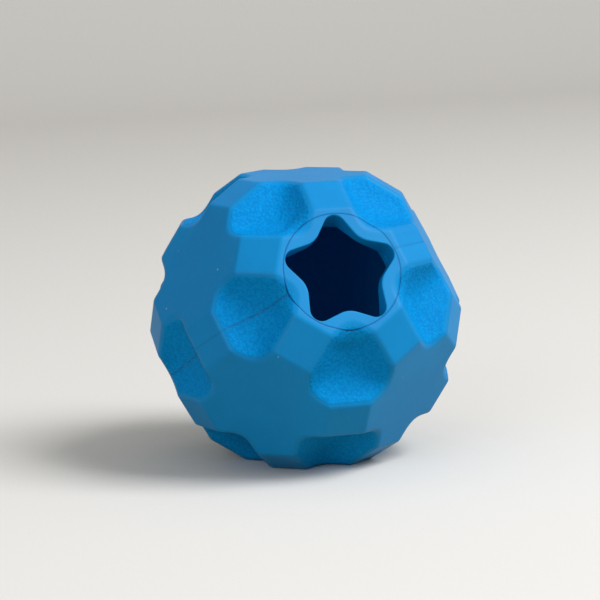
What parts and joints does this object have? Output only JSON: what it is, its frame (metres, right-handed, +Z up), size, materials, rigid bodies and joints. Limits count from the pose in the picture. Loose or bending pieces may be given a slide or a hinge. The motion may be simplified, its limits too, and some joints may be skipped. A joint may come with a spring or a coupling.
{
  "type": "treat dispensing ball",
  "caption": "Faceted hollow rubber ball with scooped corners, which lets treats out through a star-shaped mouth in a pull-out plug as it rolls.",
  "frame": {"origin": "middle of the facet that the ball stands on", "axes": "+Z up; the mouth faces -Y and upwards, at 26.6 degrees above the horizontal"},
  "size_m": [0.0782, 0.0784, 0.072],
  "materials": {
    "shell_rubber": "moulded satin rubber, smooth on the facets and lands, finely grained in the scooped hollows",
    "plug_rubber": "moulded satin rubber"
  },
  "bodies": {
    "shell": {"upper_shell": "shell_rubber", "lower_shell": "shell_rubber"},
    "plug": {"star_plug": "plug_rubber"}
  },
  "joints": [
    {"name": "plug_pull", "type": "slide", "parent": "shell", "child": "plug", "axis": [0, -0.8944, 0.4472], "range_m": [0, 0.03]}
  ]
}
